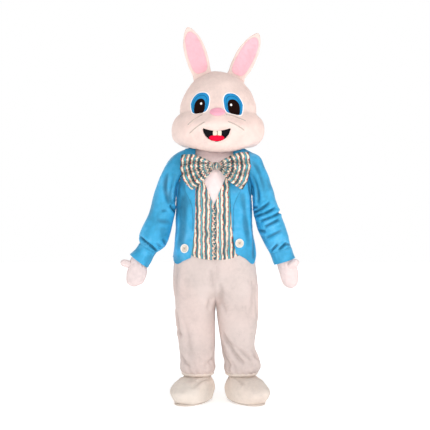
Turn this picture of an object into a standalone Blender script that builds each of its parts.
"""Rabbit mascot costume, hollow and in the pose of someone standing, with nobody in it.

The costume faces -Y and +X is the wearer's left. Heights in the tables are metres above
the floor. Every piece hangs from one empty that puts the origin midway between the
shoulders, where the wearer carries the costume.
"""
import math

import bmesh
import bpy
from mathutils import Vector
from mathutils.bvhtree import BVHTree

# Overall sizes, in metres
SHOULDER_HEIGHT = 1.36
ARMPIT_HEIGHT = 1.13
BODY_CENTRE = -0.004
FRONT_CENTRE = -0.014
SEAM = 0.0003

# Wall thicknesses of the made-up cloths
PLUSH = 0.003
JACKET_CLOTH = 0.002
SATIN = 0.0020
HEAD_FOAM = 0.010
MITT_PLUSH = 0.004
THUMB_PLUSH = 0.003
FOOT_FOAM = 0.006
SOLE_FOAM = 0.010

# Layers over the body's plush line, from the inside out
WAISTCOAT_OUT = 0.0036
JACKET_OUT = 0.0066
LAPEL_OUT = 0.0096

# How far one piece stands off another that it is sewn on
SEWN_ON = 0.0007

# Colours in linear light, roughness and metallic of each finish
FINISHES = {
    "white_plush": ((0.78, 0.67, 0.62), 0.95, 0.0),
    "pink_plush": ((1.00, 0.50, 0.60), 0.90, 0.0),
    "blue_cloth": ((0.03, 0.34, 0.70), 0.60, 0.0),
    "striped_satin": ((0.62, 0.62, 0.55), 0.35, 0.0),
    "eye_blue": ((0.02, 0.27, 0.58), 0.50, 0.0),
    "black_cloth": ((0.012, 0.008, 0.008), 0.60, 0.0),
    "red_cloth": ((0.78, 0.01, 0.04), 0.60, 0.0),
    "tooth_cloth": ((0.86, 0.76, 0.66), 0.60, 0.0),
    "button_cream": ((0.92, 0.85, 0.78), 0.35, 0.0),
    "sole_foam": ((0.70, 0.62, 0.58), 0.90, 0.0),
}


def table(columns, rows):
    """Read a named column anywhere between the rows, eased, by the rows' first column."""
    places = [row[0] for row in rows]
    last = len(rows) - 1
    tracks = {}
    for index, column in enumerate(columns):
        values = [row[index] for row in rows]
        slopes = []
        for i in range(last + 1):
            before = max(i - 1, 0)
            after = min(i + 1, last)
            slopes.append((values[after] - values[before]) / (places[after] - places[before]))
        tracks[column] = (values, slopes)

    def read(column, place):
        place = min(max(place, places[0]), places[last])
        i = max(j for j in range(last) if places[j] <= place)
        span = places[i + 1] - places[i]
        s = (place - places[i]) / span
        values, slopes = tracks[column]
        start = (1 + 2 * s) * (1 - s) ** 2 * values[i] + s * (1 - s) ** 2 * span * slopes[i]
        end = s * s * (3 - 2 * s) * values[i + 1] + s * s * (s - 1) * span * slopes[i + 1]
        return start + end

    return read


# The body's plush line under the jacket: how far it reaches at each height
TORSO = table(
    ("height", "right", "left", "front", "back"),
    (
        (0.740, 0.234, 0.218, 0.128, 0.150),
        (0.830, 0.222, 0.210, 0.130, 0.140),
        (0.930, 0.211, 0.196, 0.132, 0.128),
        (1.030, 0.209, 0.190, 0.135, 0.126),
        (1.130, 0.206, 0.188, 0.135, 0.126),
        (1.240, 0.196, 0.182, 0.135, 0.128),
        (1.369, 0.190, 0.178, 0.132, 0.126),
    ),
)
BODY_POWER = 0.86
SHOULDER_TIP_OUT = 0.190
SHOULDER_TIP_HEIGHT = 1.369
SHOULDER_SLOPE = 0.22

# Where the jacket's two front edges run, as x at each height
FRONT_EDGE = table(
    ("height", "right", "left"),
    (
        (0.780, -0.138, 0.108),
        (0.860, -0.127, 0.094),
        (0.960, -0.116, 0.081),
        (1.150, -0.111, 0.071),
        (1.250, -0.112, 0.080),
        (1.390, -0.112, 0.092),
    ),
)

# The jacket's hem height by the angle from the front, which is at 0
JACKET_HEM = table(
    ("angle", "right", "left"),
    (
        (25, 0.795, 0.810),
        (42, 0.772, 0.782),
        (62, 0.751, 0.751),
        (90, 0.783, 0.812),
        (120, 0.790, 0.800),
        (180, 0.786, 0.786),
    ),
)

# The lapel's width at each height
LAPEL_WIDTH = table(
    ("height", "width"),
    (
        (0.930, 0.006),
        (1.000, 0.009),
        (1.060, 0.015),
        (1.110, 0.034),
        (1.150, 0.052),
        (1.390, 0.058),
    ),
)

# The trouser legs: how far each reaches out, in, forward and back, and how much the two
# legs are one body there (1 above the crotch, 0 below it)
LEGS = table(
    ("height", "right_out", "right_in", "left_in", "left_out", "front", "back", "joined"),
    (
        (0.160, -0.179, -0.029, 0.063, 0.213, 0.055, 0.095, 0.0),
        (0.176, -0.194, -0.014, 0.052, 0.232, 0.064, 0.106, 0.0),
        (0.205, -0.199, -0.011, 0.046, 0.240, 0.070, 0.112, 0.0),
        (0.240, -0.201, -0.010, 0.037, 0.226, 0.076, 0.110, 0.0),
        (0.300, -0.208, -0.009, 0.026, 0.210, 0.083, 0.106, 0.0),
        (0.395, -0.218, -0.008, 0.011, 0.223, 0.093, 0.108, 0.0),
        (0.480, -0.225, -0.007, 0.001, 0.227, 0.103, 0.116, 0.0),
        (0.560, -0.230, -0.006, -0.001, 0.227, 0.112, 0.132, 0.45),
        (0.640, -0.237, -0.005, -0.003, 0.225, 0.122, 0.148, 1.0),
        (0.740, -0.236, -0.005, -0.003, 0.216, 0.128, 0.150, 1.0),
        (0.830, -0.226, -0.005, -0.003, 0.206, 0.130, 0.140, 1.0),
        (0.930, -0.215, -0.005, -0.003, 0.192, 0.132, 0.128, 1.0),
        (1.030, -0.213, -0.005, -0.003, 0.186, 0.135, 0.126, 1.0),
    ),
)
LEG_POWER = 0.94
TROUSER_HEM = 0.160
TROUSER_WAIST = 0.950
ANKLES = {"right": (-0.104, 0.020), "left": (0.138, 0.020)}
ANKLE_RADIUS = 0.075
ANKLE_BAND_BOTTOM = 0.134

# The sleeves and cuffs: centre, half sizes and lean of the arm at places down its length
ARM_COLUMNS = ("place", "out", "height", "forward", "half_wide", "half_deep", "lean")
ARMS = {
    "right": table(
        ARM_COLUMNS,
        (
            (0.00, 0.200, 1.248, 0.000, 0.118, 0.066, 84),
            (0.06, 0.2410, 1.219, 0.001, 0.111, 0.068, 70),
            (0.14, 0.2655, 1.166, 0.002, 0.080, 0.069, 58),
            (0.27, 0.2830, 1.095, 0.004, 0.070, 0.071, 33),
            (0.42, 0.2970, 1.028, 0.006, 0.071, 0.072, 15),
            (0.66, 0.346, 0.885, 0.012, 0.077, 0.071, 22),
            (0.80, 0.376, 0.836, 0.016, 0.054, 0.057, 30),
            (1.00, 0.424, 0.764, 0.022, 0.060, 0.055, 37),
        ),
    ),
    "left": table(
        ARM_COLUMNS,
        (
            (0.00, 0.188, 1.248, 0.000, 0.118, 0.066, 84),
            (0.06, 0.2305, 1.2175, 0.001, 0.1125, 0.068, 69),
            (0.14, 0.2445, 1.160, 0.002, 0.078, 0.069, 56),
            (0.27, 0.260, 1.092, 0.004, 0.069, 0.071, 32),
            (0.42, 0.2785, 1.020, 0.006, 0.071, 0.072, 13),
            (0.63, 0.309, 0.925, 0.010, 0.074, 0.070, 17),
            (0.82, 0.344, 0.840, 0.015, 0.063, 0.060, 19),
            (1.00, 0.375, 0.7635, 0.020, 0.059, 0.055, 18.5),
        ),
    ),
}
CUFF_PLACE = {"right": 0.80, "left": 0.86}
SHOULDER_BLEND = 0.16

# The mitts, from the wrist inside the cuff to the finger ends
HANDS = {
    "right": table(
        ARM_COLUMNS,
        (
            (0.00, 0.404, 0.791, 0.020, 0.046, 0.041, 37),
            (0.25, 0.424, 0.760, 0.024, 0.048, 0.042, 30),
            (0.45, 0.431, 0.722, 0.028, 0.054, 0.041, 12),
            (0.65, 0.438, 0.685, 0.031, 0.056, 0.039, 2),
            (0.85, 0.444, 0.648, 0.034, 0.047, 0.034, -3),
            (1.00, 0.446, 0.626, 0.035, 0.038, 0.030, -3),
        ),
    ),
    "left": table(
        ARM_COLUMNS,
        (
            (0.00, 0.364, 0.795, 0.018, 0.045, 0.041, 18),
            (0.25, 0.376, 0.760, 0.022, 0.047, 0.042, 16),
            (0.45, 0.389, 0.722, 0.026, 0.052, 0.041, 8),
            (0.65, 0.398, 0.684, 0.030, 0.050, 0.039, 2),
            (0.85, 0.402, 0.644, 0.033, 0.042, 0.034, 0),
            (1.00, 0.403, 0.616, 0.034, 0.034, 0.030, 0),
        ),
    ),
}

# Where in the cuff a mitt's open wrist ends, as a place down the arm
MITT_TOP = 0.925

# The thumbs: root and tip as (out, height, forward), and the root's radius
THUMBS = {
    "right": ((0.462, 0.742, 0.030), (0.524, 0.760, 0.036), 0.021),
    "left": ((0.402, 0.738, 0.052), (0.440, 0.768, 0.088), 0.022),
}

# The head's outside, from the rim round the neck up to the crown; the front drops to a chin
HEAD_CENTRE = 0.008
HEAD_POWER = 0.88
HEAD = table(
    ("row", "height", "half_wide", "front", "back", "front_drop"),
    (
        (0, 1.4120, 0.105, 0.102, 0.100, 0.020),
        (1, 1.3970, 0.130, 0.128, 0.118, 0.037),
        (2, 1.3910, 0.172, 0.166, 0.142, 0.036),
        (3, 1.4020, 0.214, 0.196, 0.166, 0.022),
        (4, 1.4340, 0.245, 0.212, 0.186, 0.009),
        (5, 1.4840, 0.2545, 0.222, 0.202, 0.002),
        (6, 1.5320, 0.2425, 0.216, 0.210, 0.0),
        (7, 1.5680, 0.214, 0.200, 0.214, 0.0),
        (8, 1.6220, 0.2050, 0.190, 0.212, 0.0),
        (9, 1.6800, 0.183, 0.174, 0.196, 0.0),
        (10, 1.7350, 0.144, 0.142, 0.162, 0.0),
        (11, 1.7760, 0.094, 0.096, 0.110, 0.0),
        (12, 1.7960, 0.045, 0.047, 0.053, 0.0),
        (13, 1.8010, 0.000, 0.000, 0.000, 0.0),
    ),
)
HEAD_ROWS = 13
HEAD_ROW_GAP = 0.010
MUZZLE_TOP_ROW = 7
MUZZLE_COLUMNS = 16
MUZZLE_ROWS = 8
MUZZLE_ANGLE_STEP = 180 / MUZZLE_COLUMNS
MUZZLE_ROW_STEP = (MUZZLE_TOP_ROW - HEAD_ROW_GAP) / MUZZLE_ROWS

# Rounded swellings of the face: centre x, height, half sizes, how far each stands out
FACE_SWELLS = (
    (-0.128, 1.478, 0.070, 0.052, 0.030),
    (0.128, 1.478, 0.070, 0.052, 0.030),
    (-0.048, 1.498, 0.050, 0.034, 0.024),
    (0.048, 1.498, 0.050, 0.034, 0.024),
    (0.000, 1.545, 0.045, 0.030, 0.012),
    (0.000, 1.395, 0.090, 0.035, 0.012),
)

# The mouth cut out of the muzzle
MOUTH_HALF_WIDTH = 0.0745
MOUTH_CORNER_HEIGHT = 1.468
MOUTH_DEPTH = 0.066
MOUTH_SAG = 0.005

# The ears: base centre and tip as (x, height), and the width along the ear
EARS = {
    "right": ((-0.073, 1.770), (-0.1557, 2.050)),
    "left": ((0.110, 1.762), (0.2240, 2.016)),
}
EAR_SHAPE = table(
    ("place", "half_wide", "half_thick"),
    (
        (0.00, 0.044, 0.017),
        (0.15, 0.051, 0.017),
        (0.32, 0.0565, 0.016),
        (0.50, 0.057, 0.015),
        (0.68, 0.050, 0.014),
        (0.84, 0.038, 0.012),
        (1.00, 0.026, 0.010),
    ),
)
EAR_HOLLOW = 0.85

# The bow: knot centre and half sizes, and each wing's outer fold from its foot to its top
KNOT = (-0.005, -0.1383, 1.279)
KNOT_HALF = (0.019, 0.0245, 0.021)
BOW_COLUMNS = ("place", "out", "height")
BOW_FOLDS = {
    "right": table(
        BOW_COLUMNS,
        ((0.0, 0.125, 1.150), (0.3, 0.166, 1.198), (0.6, 0.186, 1.262), (1.0, 0.181, 1.340)),
    ),
    "left": table(
        BOW_COLUMNS,
        ((0.0, 0.141, 1.152), (0.3, 0.166, 1.196), (0.6, 0.184, 1.270), (1.0, 0.175, 1.354)),
    ),
}
BOW_PLEATS = 4
BOW_PLEAT_DEPTH = 0.006
BOW_BULGE = 0.017

# The foot covers: middle of the sole, how far it is turned out, half length and half width
FEET = {"right": (-0.130, -0.060, 33), "left": (0.165, -0.060, 33)}
FOOT_HALF_LENGTH = 0.165
FOOT_HALF_WIDTH = 0.090
FOOT_COLLAR_TOP = 0.157

# The buttons: x and height of each, and its sizes
BUTTONS = {"right": (-0.170, 0.836), "left": (0.1217, 0.865)}
BUTTON_RADIUS = 0.0245
BUTTON_THICKNESS = 0.007

# Soft folds of the cloth: place along, turn around (1 is once round), how the fold's
# line slants (place for each turn), half length in turns, half width in place, depth
FOLD_COLUMNS = ("place", "turn", "slant", "half_length", "half_width", "depth")
SLEEVE_FOLDS = {
    "right": (
        (0.775, 0.16, 0.10, 0.28, 0.020, -0.010),
        (0.720, 0.30, -0.12, 0.20, 0.022, -0.006),
        (0.560, 0.20, 0.16, 0.18, 0.024, -0.006),
        (0.340, 0.12, -0.20, 0.16, 0.022, -0.005),
        (0.640, 0.72, 0.12, 0.20, 0.024, -0.006),
        (0.780, 0.66, -0.08, 0.22, 0.020, -0.007),
        (0.500, 0.86, 0.14, 0.16, 0.022, -0.005),
    ),
    "left": (
        (0.500, 0.80, -0.16, 0.20, 0.022, -0.006),
        (0.580, 0.70, 0.12, 0.22, 0.022, -0.007),
        (0.670, 0.84, 0.14, 0.20, 0.020, -0.006),
        (0.800, 0.74, -0.08, 0.24, 0.018, -0.006),
        (0.350, 0.86, 0.20, 0.16, 0.022, -0.005),
        (0.620, 0.24, 0.12, 0.20, 0.024, -0.006),
        (0.760, 0.32, -0.10, 0.20, 0.020, -0.006),
    ),
}
LEG_FOLD_COLUMNS = ("height", "turn", "slant", "half_length", "half_width", "depth")
LEG_FOLDS = {
    "right": (
        (0.255, 0.22, -0.12, 0.18, 0.022, -0.010),
        (0.375, 0.30, 0.24, 0.16, 0.028, -0.011),
        (0.205, 0.40, 0.10, 0.14, 0.018, -0.007),
        (0.255, 0.70, 0.14, 0.18, 0.022, -0.010),
        (0.370, 0.64, -0.20, 0.16, 0.028, -0.010),
    ),
    "left": (
        (0.275, 0.22, -0.30, 0.18, 0.022, -0.012),
        (0.212, 0.36, 0.14, 0.16, 0.018, -0.008),
        (0.385, 0.32, -0.20, 0.14, 0.028, -0.010),
        (0.245, 0.68, -0.14, 0.18, 0.022, -0.010),
        (0.370, 0.66, 0.20, 0.16, 0.028, -0.010),
    ),
}

# How finely the walls are divided
LOWER_ROWS = 5
ARMHOLE_ROWS = 7
SLEEVE_ROWS = 14
CUFF_ROWS = 3
LEG_ROWS = 18
LEG_COLUMNS = 7
EAR_COLUMNS = 16
EAR_ROWS = 7
HAND_COLUMNS = 12
HAND_ROWS = 8
FOOT_COLUMNS = 18
FOOT_DOME_ROWS = 6
BOW_COLUMNS_ROUND = 12
BOW_ROWS = 12
DISC_SIDES = 18
DIFFERENCE_STEP = 0.001

SIGNS = {"right": -1, "left": 1}


def mix(start, end, share):
    """The value or point a share of the way from start to end."""
    return start + (end - start) * share


def ease(share):
    """A smooth step from 0 to 1."""
    share = min(max(share, 0.0), 1.0)
    return share * share * (3 - 2 * share)


def steps(count, start=0.0, end=1.0):
    """Evenly spaced places, both ends included."""
    return [mix(start, end, i / count) for i in range(count + 1)]


def round_steps(count):
    """Evenly spaced places once round, the first not repeated."""
    return [i / count for i in range(count)]


def signed_power(value, power):
    """Raise a value's size to a power and keep its sign."""
    return math.copysign(abs(value) ** power, value)


def clear_scene():
    """Remove whatever the scene holds."""
    for item in list(bpy.data.objects):
        bpy.data.objects.remove(item, do_unlink=True)


def finish_material(name, finish):
    """A plain material for one piece."""
    colour, roughness, metallic = FINISHES[finish]
    material = bpy.data.materials.new(f"{name}.{finish}")
    material.use_nodes = True
    shader = material.node_tree.nodes["Principled BSDF"]
    shader.inputs["Base Color"].default_value = (*colour, 1.0)
    shader.inputs["Roughness"].default_value = roughness
    shader.inputs["Metallic"].default_value = metallic
    return material


def add_object(name, finish, mesh, costume):
    """Make an object of a bmesh and hang it from the costume's empty."""
    data = bpy.data.meshes.new(name)
    mesh.to_mesh(data)
    mesh.free()
    data.shade_smooth()
    data.set_sharp_from_angle(angle=math.radians(40))
    data.materials.append(finish_material(name, finish))
    item = bpy.data.objects.new(name, data)
    bpy.context.scene.collection.objects.link(item)
    item.parent = costume
    return item


def add_triangles(mesh, *corners, crossed=False):
    """Two triangles for four corners, leaving out what has no area."""
    a, b, c, d = corners
    halves = ((a, b, d), (b, c, d)) if crossed else ((a, b, c), (a, c, d))
    for triangle in halves:
        if len(set(triangle)) == 3:
            mesh.faces.new(triangle)


def shorter_diagonals(rows, ring):
    """For each cell of a grid, whether its second diagonal is the shorter one."""
    columns = len(rows[0])
    cells = []
    for low, high in zip(rows, rows[1:]):
        line = []
        for i in range(columns if ring else columns - 1):
            j = (i + 1) % columns
            line.append((low[j] - high[i]).length < (low[i] - high[j]).length - 1e-5)
        cells.append(line)
    return cells


def place_rows(mesh, rows):
    """Add the vertices of a grid; a row that is one point repeated gets one vertex."""
    placed = []
    for row in rows:
        spread = max((point - row[0]).length for point in row)
        if spread < 1e-6:
            placed.append([mesh.verts.new(row[0])] * len(row))
        else:
            placed.append([mesh.verts.new(point) for point in row])
    return placed


def skin(mesh, grid, ring, crossed, inside_out=False):
    """Cover a grid of vertices with triangles, facing outside or inside."""
    columns = len(grid[0])
    for low, high, line in zip(grid, grid[1:], crossed):
        for i in range(columns if ring else columns - 1):
            j = (i + 1) % columns
            if inside_out:
                corners = (low[j], low[i], high[i], high[j])
                add_triangles(mesh, *corners, crossed=not line[i])
            else:
                add_triangles(mesh, low[i], low[j], high[j], high[i], crossed=line[i])


def edge_strip(mesh, first, second, ring):
    """Close the rim between two rows of vertices."""
    count = len(first)
    for i in range(count if ring else count - 1):
        j = (i + 1) % count
        add_triangles(mesh, first[j], first[i], second[i], second[j])


def build_wall(name, finish, outer_rows, inner_rows, costume, ring=False):
    """One closed cloth wall between an outer and an inner grid of points.

    Rows run upwards or outwards and columns run so that column x row faces outside.
    """
    mesh = bmesh.new()
    outer = place_rows(mesh, outer_rows)
    inner = place_rows(mesh, inner_rows)
    crossed = shorter_diagonals(outer_rows, ring)
    skin(mesh, outer, ring, crossed)
    skin(mesh, inner, ring, crossed, inside_out=True)
    if outer[0][0] is not outer[0][1]:
        edge_strip(mesh, outer[0], inner[0], ring)
    if outer[-1][0] is not outer[-1][1]:
        edge_strip(mesh, inner[-1], outer[-1], ring)
    if not ring:
        edge_strip(mesh, [row[0] for row in inner], [row[0] for row in outer], False)
        edge_strip(mesh, [row[-1] for row in outer], [row[-1] for row in inner], False)
    return add_object(name, finish, mesh, costume)


def build_solid(name, finish, rows, costume):
    """A solid form whose first and last rows each close to a point."""
    mesh = bmesh.new()
    skin(mesh, place_rows(mesh, rows), True, shorter_diagonals(rows, True))
    return add_object(name, finish, mesh, costume)


def facing(surface, u, v):
    """The direction that a surface faces at a place on it."""
    d = DIFFERENCE_STEP
    along = surface(u + d, v) - surface(u - d, v)
    up = surface(u, v + d) - surface(u, v - d)
    return along.cross(up).normalized()


def moved_out(surface, us, v, distance):
    """One row of a surface's points, moved out by a distance."""
    points = [surface(u, v) for u in us]
    spread = max((point - points[0]).length for point in points)
    if spread < 1e-6:
        near = v + 0.03 if v < 0.5 else v - 0.03
        mean = sum((facing(surface, u, near) for u in us), Vector()).normalized()
        return [points[0] + mean * distance] * len(us)
    return [point + facing(surface, u, v) * distance for u, point in zip(us, points)]


def wall(name, finish, surface, us, vs, outside, thickness, costume, ring=False):
    """A cloth wall along a surface, its outer face a distance outside it."""
    outer = [moved_out(surface, us, v, outside) for v in vs]
    inner = [moved_out(surface, us, v, outside - thickness) for v in vs]
    return build_wall(name, finish, outer, inner, costume, ring)


def fold_depth(folds, columns, place, turn):
    """How far the cloth stands out or in at a place, from a table of folds."""
    total = 0.0
    for row in folds:
        fold = dict(zip(columns, row))
        across_turn = (turn - fold["turn"] + 0.5) % 1.0 - 0.5
        share = across_turn / fold["half_length"]
        if abs(share) < 1:
            line = fold[columns[0]] + fold["slant"] * across_turn
            width = (place - line) / fold["half_width"]
            total += fold["depth"] * math.exp(-width * width) * (1 - share * share) ** 2
    return total


def torso(angle, level):
    """A point on the body's plush line.

    The angle is in degrees, 0 in front and 90 at the wearer's left. A level of 0 or less
    is metres under the armpit; from 0 to 1 it goes from the armpit to the shoulder seam.
    """
    turn = math.radians(angle)
    side = "left" if math.sin(turn) >= 0 else "right"
    swing = max(level, 0.0) * math.pi / 2
    rise = math.sin(swing)
    height = ARMPIT_HEIGHT + min(level, 0.0)
    if level > 0:
        height = mix(ARMPIT_HEIGHT, SHOULDER_TIP_HEIGHT, min(rise, 1.0))
    reach = TORSO(side, height)
    x = BODY_CENTRE + reach * signed_power(math.sin(turn), BODY_POWER)
    end = "front" if math.cos(turn) >= 0 else "back"
    y = -TORSO(end, height) * signed_power(math.cos(turn), BODY_POWER) * math.cos(swing)
    if level > 0:
        seam = SHOULDER_TIP_HEIGHT + SHOULDER_SLOPE * (SHOULDER_TIP_OUT - abs(x - BODY_CENTRE))
        height = mix(ARMPIT_HEIGHT, seam, rise)
    return Vector((x, y, height))


def torso_angle(x, level):
    """The angle at which the front of the body reaches an x at a level."""
    side = "left" if x >= BODY_CENTRE else "right"
    reach = TORSO(side, level_height(level))
    share = min(abs(x - BODY_CENTRE) / reach, 1.0)
    turn = math.degrees(math.asin(share ** (1 / BODY_POWER)))
    return turn * SIGNS[side]


def level_height(level):
    """The height of a level near the front edges."""
    if level <= 0:
        return ARMPIT_HEIGHT + level
    return mix(ARMPIT_HEIGHT, 1.388, math.sin(min(level, 1.0) * math.pi / 2))


def armhole_angle(side, front, level):
    """The angle at which a front or back panel ends at the side seam or the armhole."""
    opening = 33 if front else -30
    return SIGNS[side] * (90 - opening * ease(level / 0.42))


def front_edge(side, level, in_by=0.0):
    """The angle of the jacket's front edge, or of a line a little under or over it."""
    x = FRONT_EDGE(side, level_height(level)) + SIGNS[side] * in_by
    return torso_angle(x, level)


def panel_levels(count=ARMHOLE_ROWS):
    """Levels above the armpit, closer together at both ends."""
    return [(1 - math.cos(math.pi * i / count)) / 2 for i in range(count + 1)]


def torso_panel(start, end, bottom, top=None):
    """A surface over part of the body: u from start to end angle, v from bottom to top.

    v runs from 0 at the bottom to 1 at the armpit's level and to 2 at the top.
    """

    def surface(u, v):
        foot_angle = mix(start(-0.3), end(-0.3), u)
        if v < 1:
            level = -(ARMPIT_HEIGHT - bottom(foot_angle)) * (1 - v)
        else:
            reach = 1.0 if top is None else top(foot_angle)
            level = (v - 1) * reach
        return torso(mix(start(level), end(level), u), level)

    return surface


def body_rows():
    """Rows of a panel that goes from the hem to the shoulder seam."""
    return steps(LOWER_ROWS)[:-1] + [1 + level for level in panel_levels()]


def jacket_hem(angle):
    """The height of the jacket's hem at an angle."""
    side = "left" if angle >= 0 else "right"
    return JACKET_HEM(side, abs(angle))


def seam_turn():
    """The angle on the body that half a seam's gap takes up."""
    return math.degrees(SEAM / 2 / 0.13)


def build_jacket_front(side, costume):
    """A jacket front, from its front edge to the side seam and the armhole."""
    sign = SIGNS[side]

    def edge(level):
        return front_edge(side, level)

    def seam(level):
        return armhole_angle(side, True, level) - sign * seam_turn()

    start, end = (edge, seam) if side == "left" else (seam, edge)
    surface = torso_panel(start, end, jacket_hem)
    name = f"jacket_front_{side}"
    us = steps(6)
    return wall(name, "blue_cloth", surface, us, body_rows(), JACKET_OUT, JACKET_CLOTH, costume)


def build_jacket_back(costume):
    """The jacket back, in one piece from side seam to side seam."""

    def start(level):
        return armhole_angle("left", False, level) + seam_turn()

    def end(level):
        return 360 + armhole_angle("right", False, level) - seam_turn()

    def hem(angle):
        return jacket_hem(angle if angle <= 180 else angle - 360)

    def neck(angle):
        return 0.66 + 0.335 * min(abs(angle - 180) / 36, 1.0) ** 6

    surface = torso_panel(start, end, hem, neck)
    return wall(
        "jacket_back", "blue_cloth", surface, steps(14), body_rows(),
        JACKET_OUT, JACKET_CLOTH, costume,
    )


def build_lapel(side, costume):
    """A lapel lying on a jacket front along its edge."""

    def edge(level):
        return front_edge(side, level, 0.001)

    def fold(level):
        width = LAPEL_WIDTH("width", level_height(level))
        return front_edge(side, level, width)

    start, end = (edge, fold) if side == "left" else (fold, edge)
    surface = torso_panel(start, end, lambda angle: 0.930)
    rows = [0.0, 0.33, 0.67] + [1 + level for level in panel_levels()[:6]]
    name = f"jacket_lapel_{side}"
    outside = LAPEL_OUT
    return wall(name, "blue_cloth", surface, steps(3), rows, outside, JACKET_CLOTH, costume)


def neck_v(height):
    """Half the width of the waistcoat's V neck at a height."""
    return max(0.0, (height - 1.0705) * 0.435)


def build_waistcoat_front(side, costume):
    """A waistcoat front, from the centre or the V neck to under the jacket front."""
    sign = SIGNS[side]

    def inner(level):
        height = level_height(level)
        limit = abs(FRONT_EDGE(side, height) - FRONT_CENTRE) - 0.008
        out = min(max(neck_v(height), SEAM), limit)
        return torso_angle(FRONT_CENTRE + sign * out, level)

    def outer(level):
        return front_edge(side, level, 0.026)

    def hem(angle):
        return 0.776 + 0.028 * (abs(angle) / 34) ** 2

    start, end = (inner, outer) if side == "left" else (outer, inner)
    surface = torso_panel(start, end, hem)
    rows = steps(LOWER_ROWS)[:-1] + [1 + level for level in panel_levels()[:5]]
    name = f"waistcoat_front_{side}"
    outside = WAISTCOAT_OUT
    return wall(name, "striped_satin", surface, steps(4), rows, outside, SATIN, costume)


def build_placket(costume):
    """The narrow ruffled strip down the middle of the waistcoat."""

    def start(level):
        return torso_angle(FRONT_CENTRE - 0.009, level)

    def end(level):
        return torso_angle(FRONT_CENTRE + 0.009, level)

    flat = torso_panel(start, end, lambda angle: 0.779, lambda angle: 0.0)

    def surface(u, v):
        ruffle = 0.0016 * math.sin(2 * math.pi * (7 * v + 0.5 * u))
        return flat(u, v) + Vector((0, -ruffle - 0.0016, 0))

    outside = WAISTCOAT_OUT + SEWN_ON + SATIN
    rows = steps(20, 0.0, 0.78)
    return wall(
        "waistcoat_placket", "striped_satin", surface, steps(2), rows, outside, SATIN, costume
    )


def build_chest(costume):
    """The pale plush chest piece, from under the waistcoat up to the chin."""

    def start(level):
        return front_edge("right", level, 0.016)

    def end(level):
        return front_edge("left", level, 0.016)

    def neck(angle):
        return 0.60 + 0.39 * ease((abs(angle) - 6) / 26)

    surface = torso_panel(start, end, lambda angle: 1.00, neck)
    rows = [0.0, 0.5] + [1 + level for level in panel_levels()]
    return wall("chest_piece", "white_plush", surface, steps(8), rows, -0.001, PLUSH, costume)


def trouser_half(side):
    """Half of the trousers as one surface, from the centre front round to the centre back."""
    sign = SIGNS[side]

    def form(turn, height):
        """Turn goes 0 to 1 from centre front over the side to centre back."""
        out = LEGS(f"{side}_out", height)
        inner = LEGS(f"{side}_in", height)
        front = LEGS("front", height)
        back = LEGS("back", height)
        joined = LEGS("joined", height)
        middle = (out + inner) / 2
        half = abs(out - inner) / 2
        leg_turn = math.radians(360 * turn - 90)
        leg = Vector((
            middle + sign * half * signed_power(math.sin(leg_turn), LEG_POWER),
            (back - front) / 2 - (front + back) / 2 * signed_power(math.cos(leg_turn), LEG_POWER),
            height,
        ))
        body_turn = math.radians(180 * turn)
        depth = front if math.cos(body_turn) >= 0 else back
        reach = abs(out - BODY_CENTRE)
        body = Vector((
            BODY_CENTRE + sign * reach * signed_power(math.sin(body_turn), BODY_POWER),
            -depth * signed_power(math.cos(body_turn), BODY_POWER),
            height,
        ))
        return mix(leg, body, ease(joined))

    def surface(turn, height):
        base = form(turn, height)
        depth = fold_depth(LEG_FOLDS[side], LEG_FOLD_COLUMNS, height, turn)
        if abs(depth) < 1e-6:
            return base
        return base + facing(form, turn, height) * depth * sign

    return surface


def build_trousers(side, costume):
    """The front and back panels of one half of the trousers."""
    half = trouser_half(side)
    trim = 0.00012
    pieces = {"front": (trim, 0.5 - trim), "back": (0.5 + trim, 1 - trim)}
    for piece, (first, last) in pieces.items():

        def surface(u, v, first=first, last=last):
            share = u if side == "left" else 1 - u
            return half(mix(first, last, share), mix(TROUSER_HEM, TROUSER_WAIST, v))

        rows = [0.0, 0.02] + [0.045 + 0.955 * i / (LEG_ROWS - 1) for i in range(LEG_ROWS)]
        name = f"trousers_{piece}_{side}"
        wall(name, "white_plush", surface, steps(LEG_COLUMNS), rows, 0.0, PLUSH, costume)


def ankle_ring(side, radius):
    """Points once round the ankle, as a function of turn and height."""
    x, y = ANKLES[side]

    def point(turn, height):
        angle = 2 * math.pi * turn
        return Vector((x + radius * math.sin(angle), y - radius * math.cos(angle), height))

    return point


def build_ankle_band(side, costume):
    """The gathered band at the bottom of a trouser leg."""
    ring = ankle_ring(side, ANKLE_RADIUS)
    top = TROUSER_HEM - SEAM
    swell = 0.004

    def surface(u, v):
        axis = ring(u, 0.5)
        middle = Vector((*ANKLES[side], 0.5))
        out = (axis - middle).normalized() * swell * math.sin(math.pi * min(max(v, 0), 1))
        return ring(u, mix(ANKLE_BAND_BOTTOM, top, v)) + out

    name = f"trousers_band_{side}"
    rows = steps(2)
    us = round_steps(FOOT_COLUMNS)
    return wall(name, "white_plush", surface, us, rows, 0.0, PLUSH, costume, ring=True)


def foot_outline(side, turn, scale=1.0):
    """A point of the sole's outline, turned out with the foot."""
    x, y, turned = FEET[side]
    angle = 2 * math.pi * turn
    swing = math.radians(turned) * SIGNS[side]
    along = FOOT_HALF_LENGTH * signed_power(math.cos(angle), 0.86) * scale
    across = FOOT_HALF_WIDTH * signed_power(math.sin(angle), 0.86) * scale
    across = across * (1 + 0.10 * math.cos(angle))
    return Vector((
        x + across * math.cos(swing) + along * math.sin(swing),
        y + across * math.sin(swing) - along * math.cos(swing),
        0.0,
    ))


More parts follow.
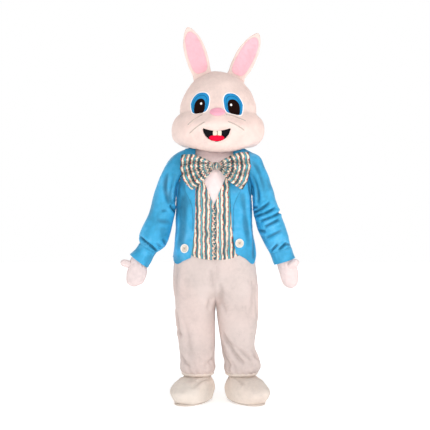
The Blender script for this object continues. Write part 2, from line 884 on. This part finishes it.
def build_foot_upper(side, costume):
    """A foot cover's puffed upper, from the sole up into the ankle band."""
    collar_radius = ANKLE_RADIUS - PLUSH - SEWN_ON
    collar = ankle_ring(side, collar_radius)
    collar_bottom = ANKLE_BAND_BOTTOM - 0.004

    def surface(u, v):
        if v > 1:
            return collar(u, mix(collar_bottom, FOOT_COLLAR_TOP, v - 1))
        swing = v * math.pi / 2
        spread = signed_power(math.cos(swing), 0.74)
        rise = signed_power(math.sin(swing), 0.80)
        puff = 1 + 0.035 * math.sin(math.pi * min(max(v * 1.6, 0), 1))
        sole = foot_outline(side, u, puff)
        neck = collar(u, 0.0)
        flat = mix(neck, sole, spread)
        bottom = SOLE_FOAM + SEAM
        return Vector((flat.x, flat.y, mix(bottom, collar_bottom, rise)))

    rows = steps(FOOT_DOME_ROWS)[:-1] + [1.02, 1.5, 2.0]
    name = f"foot_upper_{side}"
    us = round_steps(FOOT_COLUMNS)
    return wall(name, "white_plush", surface, us, rows, 0.0, FOOT_FOAM, costume, ring=True)


def build_sole(side, costume):
    """A foot cover's flat sole."""
    mesh = bmesh.new()
    outline = [foot_outline(side, turn, 1.0) for turn in round_steps(FOOT_COLUMNS)]
    rows = [outline, [point + Vector((0, 0, SOLE_FOAM)) for point in outline]]
    low, high = place_rows(mesh, rows)
    skin(mesh, [low, high], True, shorter_diagonals(rows, True))
    mesh.faces.new(list(reversed(low)))
    mesh.faces.new(high)
    return add_object(f"foot_sole_{side}", "sole_foam", mesh, costume)


def limb_point(limb, side, place, turn, size=1.0):
    """A point round an arm or a hand: turn 0 is on the body's side of it."""
    sign = SIGNS[side]
    lean = math.radians(limb("lean", place))
    down = Vector((sign * math.sin(lean), 0, -math.cos(lean)))
    outward = Vector((sign * math.cos(lean), 0, math.sin(lean)))
    across = down.cross(-outward)
    centre = Vector((sign * limb("out", place), -limb("forward", place), limb("height", place)))
    angle = 2 * math.pi * turn
    wide = -outward * limb("half_wide", place) * math.cos(angle) * size
    deep = across * limb("half_deep", place) * math.sin(angle) * size
    return centre + wide + deep


def armhole_point(side, turn):
    """A point of the armhole's edge on the jacket: turn 0 is at the armpit."""
    turn = turn % 1.0
    level = (1 - math.cos(2 * math.pi * turn)) / 2
    front = (turn <= 0.5) == (side == "right")
    return torso(armhole_angle(side, front, level), level)


def armhole_edge(side, turn, outside):
    """A point of the sleeve's first ring, just inside the armhole's edge."""
    turn = turn % 1.0
    level = (1 - math.cos(2 * math.pi * turn)) / 2
    front = (turn <= 0.5) == (side == "right")

    def across(u, v):
        return torso(armhole_angle(side, front, level) + 10 * u, level + v)

    edge = armhole_point(side, turn) + facing(across, 0, 0) * outside
    middle = Vector((SIGNS[side] * 0.198, 0.0, 1.245))
    return edge + (middle - edge).normalized() * 0.0026


def sleeve_surface(side):
    """The sleeve's outside: u once round, v from the armhole to the wrist."""
    arm = ARMS[side]

    def form(u, v):
        plain = limb_point(arm, side, v, u)
        if v >= SHOULDER_BLEND:
            return plain
        shift = armhole_edge(side, u, JACKET_OUT) - limb_point(arm, side, 0.0, u)
        return plain + shift * (1 - ease(v / SHOULDER_BLEND))

    def surface(u, v):
        base = form(u, v)
        depth = fold_depth(SLEEVE_FOLDS[side], FOLD_COLUMNS, v, u)
        if abs(depth) < 1e-6:
            return base
        return base + facing(form, u, v) * depth

    return surface


def build_sleeve(side, costume):
    """A sleeve from the armhole down to its cuff, and the cuff."""
    surface = sleeve_surface(side)
    cuff = CUFF_PLACE[side]
    gap = 0.0007
    us = round_steps(2 * ARMHOLE_ROWS)
    rows = steps(SLEEVE_ROWS, 0.0, cuff - gap)
    cloth = JACKET_CLOTH
    wall(f"sleeve_{side}", "blue_cloth", surface, us, rows, 0.0, cloth, costume, ring=True)
    rows = steps(CUFF_ROWS, cuff + gap, 1.0)
    wall(f"sleeve_cuff_{side}", "blue_cloth", surface, us, rows, 0.0, cloth, costume, ring=True)


def hand_surface(side):
    """A mitt's outside: u once round, v from the wrist to the finger ends."""
    hand = HANDS[side]
    rounding = 0.80
    flare = 0.14

    def cuff_inside(u):
        middle = limb_point(ARMS[side], side, MITT_TOP, u, 0.0)
        edge = limb_point(ARMS[side], side, MITT_TOP, u)
        return edge - (edge - middle).normalized() * (JACKET_CLOTH + 0.0023)

    def surface(u, v):
        size = 1.0
        if v > rounding:
            past = min((v - rounding) / (1 - rounding), 1.0)
            size = math.sqrt(max(0.0, 1 - past * past))
        plain = limb_point(hand, side, v, u, size)
        if v >= flare:
            return plain
        return mix(cuff_inside(u), plain, ease(v / flare))

    return surface


def build_mitt(side, costume):
    """A mitt: the hand with its open wrist, and the thumb sewn on its side."""
    surface = hand_surface(side)
    rows = [0.0, 0.04] + steps(HAND_ROWS - 2, 0.0, 0.88)[1:] + [0.96, 1.0]
    us = round_steps(HAND_COLUMNS)
    name = f"mitt_hand_{side}"
    hand = wall(name, "white_plush", surface, us, rows, 0.0, MITT_PLUSH, costume, ring=True)
    return build_thumb(side, hand, costume)


def build_thumb(side, hand, costume):
    """A mitt's thumb, a capped tube whose open root follows the hand."""
    root, tip, radius = THUMBS[side]
    sign = SIGNS[side]
    start = Vector((sign * root[0], -root[2], root[1]))
    end = Vector((sign * tip[0], -tip[2], tip[1]))
    axis = (end - start).normalized()
    wide = axis.cross(Vector((0, 1, 0))).normalized()
    deep = axis.cross(wide)
    find = surface_finder([hand])
    length = (end - start).length

    def ring(radius, size, place):
        middle = start + axis * length * place
        round_it = []
        for u in round_steps(10):
            angle = 2 * math.pi * u
            spoke = wide * math.cos(angle) + deep * math.sin(angle)
            round_it.append(middle + spoke * radius * size)
        return round_it

    def seat(points):
        return [find(point + axis * 0.10, -axis) + axis * 0.0023 for point in points]

    outer = [seat(ring(radius, 0.96, 0.0))]
    inner = [seat(ring(radius - THUMB_PLUSH, 0.96, 0.0))]
    for place, size in ((0.58, 1.0), (0.78, 0.86), (0.92, 0.56), (1.0, 0.0)):
        outer.append(ring(radius, size, place))
        deeper = place - (THUMB_PLUSH / length) * (place > 0.9)
        inner.append(ring(radius - THUMB_PLUSH, size, deeper))
    return build_wall(f"mitt_thumb_{side}", "white_plush", outer, inner, costume, ring=True)


def surface_finder(items):
    """A function that finds where a ray first meets some pieces."""
    trees = []
    for item in items:
        points = [vertex.co for vertex in item.data.vertices]
        faces = [tuple(polygon.vertices) for polygon in item.data.polygons]
        trees.append(BVHTree.FromPolygons(points, faces))

    def find(origin, direction):
        hits = []
        for tree in trees:
            place, _, _, distance = tree.ray_cast(origin, direction)
            if place is not None:
                hits.append((distance, place))
        return min(hits, key=lambda hit: hit[0])[1]

    return find


def head_surface(angle, row):
    """A point of the head's outside: angle 0 in front, row from the rim to the crown."""
    turn = math.radians(angle)
    across = signed_power(math.sin(turn), HEAD_POWER)
    along = signed_power(math.cos(turn), HEAD_POWER)
    x = HEAD("half_wide", row) * across
    depth = HEAD("front" if along >= 0 else "back", row)
    drop = HEAD("front_drop", row) * max(along, 0.0) ** 2
    height = HEAD("height", row) - drop
    y = -depth * along
    if along > 0:
        for centre, level, half_wide, half_high, out in FACE_SWELLS:
            place = ((x - centre) / half_wide) ** 2 + ((height - level) / half_high) ** 2
            y -= out * math.exp(-place) * ease(along * 2.2)
    return Vector((x + HEAD_CENTRE, y, height))


def head_panel(first_angle, last_angle, first_row, last_row):
    """Part of the head's outside as a surface."""

    def surface(u, v):
        return head_surface(mix(first_angle, last_angle, u), mix(first_row, last_row, v))

    return surface


def build_head(costume):
    """The head's shell in four pieces, the mouth cut out of the muzzle, and its skirt."""
    gap = math.degrees(SEAM / 2 / 0.2)
    side = 90
    low = MUZZLE_TOP_ROW - HEAD_ROW_GAP
    high = MUZZLE_TOP_ROW + HEAD_ROW_GAP
    crown = HEAD_ROWS - 0.03
    pieces = {
        "head_muzzle": (-side + gap, side - gap, 0, low, MUZZLE_COLUMNS, MUZZLE_ROWS),
        "head_face": (-side + gap, side - gap, high, crown, MUZZLE_COLUMNS, 6),
        "head_back_left": (side + gap, 180 - gap, 0, crown, 7, 11),
        "head_back_right": (180 + gap, 360 - side - gap, 0, crown, 7, 11),
    }
    built = {}
    for name, (first, last, low, high, columns, rows) in pieces.items():
        surface = head_panel(first, last, low, high)
        built[name] = wall(
            name, "white_plush", surface, steps(columns), steps(rows), 0.0, HEAD_FOAM, costume
        )
    cut_mouth(built["head_muzzle"])
    build_neck_skirt(costume)
    return built


def mouth_outline(grow=0.0):
    """The mouth's outline as (x, height) points, corner to corner and back underneath."""
    half = MOUTH_HALF_WIDTH + grow
    points = []
    for share in steps(6, -1.0, 1.0)[:-1]:
        sag = MOUTH_SAG * (1 - share * share)
        points.append((HEAD_CENTRE + half * share, MOUTH_CORNER_HEIGHT + grow - sag))
    for angle in steps(12, 0.0, math.pi)[:-1]:
        low = MOUTH_CORNER_HEIGHT + grow - (MOUTH_DEPTH + 2 * grow) * math.sin(angle)
        points.append((HEAD_CENTRE + half * math.cos(angle), low))
    return points


def cut_mouth(muzzle):
    """Cut the open mouth through the muzzle's wall."""
    mesh = bmesh.new()
    outline = mouth_outline()
    near = [mesh.verts.new((x, -0.32, height)) for x, height in outline]
    far = [mesh.verts.new((x, -0.12, height)) for x, height in outline]
    mesh.faces.new(near)
    mesh.faces.new(list(reversed(far)))
    count = len(outline)
    for i in range(count):
        j = (i + 1) % count
        mesh.faces.new((near[j], near[i], far[i], far[j]))
    bmesh.ops.recalc_face_normals(mesh, faces=mesh.faces)
    data = bpy.data.meshes.new("mouth_cutter")
    mesh.to_mesh(data)
    mesh.free()
    cutter = bpy.data.objects.new("mouth_cutter", data)
    bpy.context.scene.collection.objects.link(cutter)
    cutter.parent = muzzle.parent
    cutter.hide_render = True
    cutter.display_type = "WIRE"
    cut = muzzle.modifiers.new("mouth", "BOOLEAN")
    cut.operation = "DIFFERENCE"
    cut.solver = "EXACT"
    cut.object = cutter


def build_neck_skirt(costume):
    """The short plush tube from the head's rim down into the jacket's neck."""
    rows = (
        (1.330, 0.072, 0.067, 0.050),
        (1.369, 0.074, 0.072, 0.052),
        (1.388, 0.075, 0.078, 0.054),
        (1.3990, 0.080, 0.088, 0.074),
        (1.4120, 0.1035, 0.1005, 0.0985),
        (1.4220, 0.1035, 0.1005, 0.0985),
    )
    read = table(("height", "half_wide", "front", "back"), rows)

    def surface(u, v):
        height = mix(rows[0][0], rows[-1][0], v)
        turn = 2 * math.pi * u
        across = signed_power(math.sin(turn), HEAD_POWER)
        along = signed_power(math.cos(turn), HEAD_POWER)
        depth = read("front" if along >= 0 else "back", height)
        drop = 0.020 * max(along, 0.0) ** 2 * ease((height - 1.34) / 0.06)
        x = HEAD_CENTRE * ease((height - 1.385) / 0.027) + read("half_wide", height) * across
        return Vector((x, -depth * along, height - drop))

    low, high = rows[0][0], rows[-1][0]
    vs = [(height - low) / (high - low) for height, *_ in rows]
    us = round_steps(16)
    return wall(
        "head_neck_skirt", "white_plush", surface, us, vs, 0.0, PLUSH, costume, ring=True
    )


def build_patch(name, finish, outline, under, rings, off, thick, dome, costume):
    """A piece of cloth sewn on the face, following what lies under it.

    The outline gives (x, height) for a turn and a share of the way out from the middle.
    """
    find = surface_finder(under)
    sides = outline.sides
    outer = []
    inner = []
    for ring in range(rings + 1):
        share = ring / rings
        crown = dome * math.sqrt(max(0.0, 1 - share * share))
        outer_row = []
        inner_row = []
        for i in range(sides):
            x, height = outline(i / sides, share)
            hit = find(Vector((x, -0.6, height)), Vector((0, 1, 0)))
            inner_row.append(hit + Vector((0, -off, 0)))
            outer_row.append(hit + Vector((0, -off - thick - crown, 0)))
        outer.append(outer_row)
        inner.append(inner_row)
    return build_wall(name, finish, outer, inner, costume, ring=True)


class Outline:
    """A rounded outline on the face, seen from the front."""

    def __init__(self, centre, half_wide, up, down, power=0.9, lean=0.0, sides=16):
        self.centre = centre
        self.half_wide = half_wide
        self.up = up
        self.down = down
        self.power = power
        self.lean = lean
        self.sides = sides

    def __call__(self, turn, share):
        angle = -2 * math.pi * turn
        across = signed_power(math.cos(angle), self.power) * self.half_wide
        rise = signed_power(math.sin(angle), self.power)
        high = rise * (self.up if rise >= 0 else self.down)
        x = self.centre[0] + share * (across + self.lean * high)
        return x, self.centre[1] + share * high


def build_face(head, costume):
    """Eyes, nose, mouth lining, tongue and teeth."""
    shell = [head["head_face"], head["head_muzzle"]]
    eyes = {
        "right": ((-0.088, 1.585), 0.047, 0.078, 0.033, 0.10),
        "left": ((0.090, 1.577), 0.048, 0.080, 0.033, -0.10),
    }
    pupils = {
        "right": ((-0.083, 1.586), 0.027, 0.044, 0.026, 0.06),
        "left": ((0.093, 1.579), 0.030, 0.047, 0.027, -0.06),
    }
    glints = {"right": (-0.0795, 1.603), "left": (0.077, 1.594)}
    for side in ("left", "right"):
        centre, half, up, down, lean = eyes[side]
        shape = Outline(centre, half, up, down, 0.8, lean, 18)
        eye = build_patch(
            f"eye_patch_{side}", "eye_blue", shape, shell, 3, 0.0024, 0.002, 0.002, costume
        )
        centre, half, up, down, lean = pupils[side]
        shape = Outline(centre, half, up, down, 0.85, lean, 16)
        pupil = build_patch(
            f"eye_pupil_{side}", "black_cloth", shape, [eye], 3, 0.0013, 0.002, 0.002, costume
        )
        shape = Outline(glints[side], 0.006, 0.006, 0.006, 1.0, 0.0, 8)
        build_patch(
            f"eye_glint_{side}", "tooth_cloth", shape, [pupil], 1, SEWN_ON, 0.0015, 0.0, costume
        )
    shape = Outline((0.0035, 1.557), 0.0415, 0.020, 0.019, 0.95, 0.0, 16)
    build_patch("nose", "pink_plush", shape, shell, 3, 0.0012, 0.002, 0.013, costume)


def build_mouth(costume):
    """The dark lining behind the mouth, with the tongue and two teeth on it."""
    half_angle = 3 * MUZZLE_ANGLE_STEP
    surface = head_panel(-half_angle, half_angle, 3 * MUZZLE_ROW_STEP, 6 * MUZZLE_ROW_STEP)
    outside = -(HEAD_FOAM + SEWN_ON)
    lining = wall(
        "mouth_lining", "black_cloth", surface, steps(6), steps(3), outside, 0.002, costume
    )
    middle = HEAD_CENTRE - 0.006
    tongue = Outline((middle, 1.4235), 0.036, 0.012, 0.016, 0.95, 0.0, 16)
    build_patch("tongue", "red_cloth", tongue, [lining], 2, 0.0014, 0.003, 0.005, costume)
    for side, sign in SIGNS.items():
        shape = Outline((middle + sign * 0.0118, 1.450), 0.0108, 0.0115, 0.013, 0.45, 0.0, 12)
        build_patch(
            f"tooth_{side}", "tooth_cloth", shape, [lining], 1, SEWN_ON, 0.005, 0.0, costume
        )


def ear_frame(side):
    """The ear's base, its direction and the direction across it."""
    base, tip = EARS[side]
    start = Vector((base[0], 0.0, base[1]))
    along = Vector((tip[0], 0.0, tip[1])) - start
    length = along.length
    along.normalize()
    across = Vector((along.z, 0.0, -along.x))
    return start, along, across, length


def ear_point(side, turn, place):
    """A point of an ear: turn 0 is its edge on the wearer's left, going to the back."""
    start, along, across, length = ear_frame(side)
    angle = 2 * math.pi * turn
    rounding = 0.72
    size = 1.0
    if place > rounding:
        past = min((place - rounding) / (1 - rounding), 1.0)
        size = math.sqrt(max(0.0, 1 - past ** 2.4))
    wide = EAR_SHAPE("half_wide", place) * math.cos(angle) * size
    thick = EAR_SHAPE("half_thick", place) * math.sin(angle) * math.sqrt(size)
    if math.sin(angle) < 0:
        thick *= 1 - EAR_HOLLOW * math.sin(angle) ** 2 * (1 - 0.7 * ease((place - 0.7) / 0.3))
    if size == 0:
        thick = 0.0
    return start + along * length * place + across * wide + Vector((0, thick, 0))


def build_ear(side, head, costume):
    """An ear standing on the head, and the pink lining in its hollow front."""
    _, along, _, _ = ear_frame(side)
    find = surface_finder(head.values())
    us = round_steps(EAR_COLUMNS)

    def seat(turn, share):
        ring = ear_point(side, turn, 0.18)
        middle = mix(ear_point(side, 0.0, 0.18), ear_point(side, 0.5, 0.18), 0.5)
        above = mix(middle, ring, share)
        beside_seam = Vector((0, -0.001, 0))
        hit = find(above + along * 0.06 + beside_seam, -along)
        return hit - beside_seam + along * 0.0023

    rows = [[seat(0.0, 0.0)] * EAR_COLUMNS]
    for share in (0.35, 0.68, 0.97):
        rows.append([seat(u, share) for u in us])
    for place in steps(EAR_ROWS, 0.10, 0.90) + [0.96, 1.0]:
        rows.append([ear_point(side, u, place) for u in us])
    build_solid(f"ear_{side}", "white_plush", rows, costume)
    places = steps(EAR_ROWS, 0.10, 0.90)
    first = 10
    last = 14
    turns = [i / EAR_COLUMNS for i in range(first, last + 1)]

    def surface(u, v):
        return ear_point(side, mix(turns[0], turns[-1], u), v)

    name = f"ear_lining_{side}"
    outside = SEWN_ON + 0.002
    return wall(name, "pink_plush", surface, steps(last - first), places, outside, 0.002, costume)


def bow_surface(side):
    """One wing of the bow, a flattened loop of cloth pleated into the knot."""
    sign = SIGNS[side]
    fold = BOW_FOLDS[side]
    x0, y0, z0 = KNOT
    knot_edge = KNOT_HALF[0]

    def surface(u, v):
        angle = 2 * math.pi * u
        reach = (1 + math.cos(angle)) / 2
        place = min(max(v, 0.0), 1.0)
        root_height = z0 + mix(-0.016, 0.016, v)
        out = mix(knot_edge, fold("out", place) + abs(x0) * 0.5, reach)
        height = mix(root_height, fold("height", place) + (v - place) * 0.19, reach)
        height += (2 * v - 1) * BOW_BULGE * math.sin(math.pi * min(reach, 1.0))
        thick = mix(0.005, 0.019, ease(reach * 1.8))
        pleat = math.cos(2 * math.pi * BOW_PLEATS * v) * BOW_PLEAT_DEPTH
        pleat *= math.sin(math.pi * min(reach, 1.0)) ** 0.7 if reach > 0 else 0.0
        middle = y0 - 0.004 - 0.024 * (1 - v) * ease(reach * 1.5)
        y = middle + sign * math.sin(angle) * thick + pleat
        return Vector((x0 + sign * out, y, height))

    return surface


def build_bow(costume):
    """The bow's two wings and the knot that gathers them."""
    for side in ("left", "right"):
        surface = bow_surface(side)
        us = round_steps(BOW_COLUMNS_ROUND)
        rows = steps(BOW_ROWS)
        name = f"bow_wing_{side}"
        wall(name, "striped_satin", surface, us, rows, 0.0, SATIN, costume, ring=True)
    x0, y0, z0 = KNOT
    wide, deep, high = KNOT_HALF
    rows = []
    for v in steps(8):
        swing = math.pi * (v - 0.5)
        ring = []
        for u in round_steps(14):
            turn = 2 * math.pi * u
            out = signed_power(math.cos(swing), 0.7) if 0 < v < 1 else 0.0
            ring.append(Vector((
                x0 + wide * out * signed_power(math.cos(turn), 0.8),
                y0 + deep * out * signed_power(math.sin(turn), 0.8),
                z0 + high * signed_power(math.sin(swing), 0.8),
            )))
        rows.append(ring)
    build_solid("bow_knot", "striped_satin", rows, costume)


def build_button(side, jacket_front, costume):
    """A large round button with a raised rim, sewn near the hem corner."""
    x, height = BUTTONS[side]
    find = surface_finder([jacket_front])
    toward = Vector((0, 1, 0))
    spread = 0.018
    middle = find(Vector((x, -0.6, height)), toward)
    beside = find(Vector((x + spread, -0.6, height)), toward)
    above = find(Vector((x, -0.6, height + spread)), toward)
    other = find(Vector((x - spread, -0.6, height)), toward)
    out = (beside - other).cross(above - middle).normalized()
    across = (beside - other).normalized()
    up = out.cross(across).normalized()
    radius = BUTTON_RADIUS
    profile = (
        (0.0, 0.0),
        (radius * 0.90, 0.0),
        (radius, BUTTON_THICKNESS * 0.35),
        (radius * 0.97, BUTTON_THICKNESS * 0.85),
        (radius * 0.86, BUTTON_THICKNESS),
        (radius * 0.72, BUTTON_THICKNESS * 0.62),
        (0.0, BUTTON_THICKNESS * 0.55),
    )
    rows = []
    for out_by, lift in profile:
        ring = []
        for u in round_steps(DISC_SIDES):
            turn = 2 * math.pi * u
            flat = (across * math.cos(turn) + up * math.sin(turn)) * out_by
            ring.append(middle + out * (lift + SEWN_ON + 0.0005) + flat)
        rows.append(ring)
    return build_solid(f"button_{side}", "button_cream", rows, costume)


def main():
    """Build the whole costume."""
    clear_scene()
    costume = bpy.data.objects.new("costume", None)
    bpy.context.scene.collection.objects.link(costume)
    costume.location = (0.0, 0.0, -SHOULDER_HEIGHT)
    fronts = {}
    for side in ("left", "right"):
        fronts[side] = build_jacket_front(side, costume)
        build_lapel(side, costume)
        build_sleeve(side, costume)
        build_waistcoat_front(side, costume)
        build_trousers(side, costume)
        build_ankle_band(side, costume)
        build_foot_upper(side, costume)
        build_sole(side, costume)
        build_mitt(side, costume)
        build_button(side, fronts[side], costume)
    build_jacket_back(costume)
    build_placket(costume)
    build_chest(costume)
    build_bow(costume)
    head = build_head(costume)
    build_face(head, costume)
    build_mouth(costume)
    for side in ("left", "right"):
        build_ear(side, head, costume)


main()
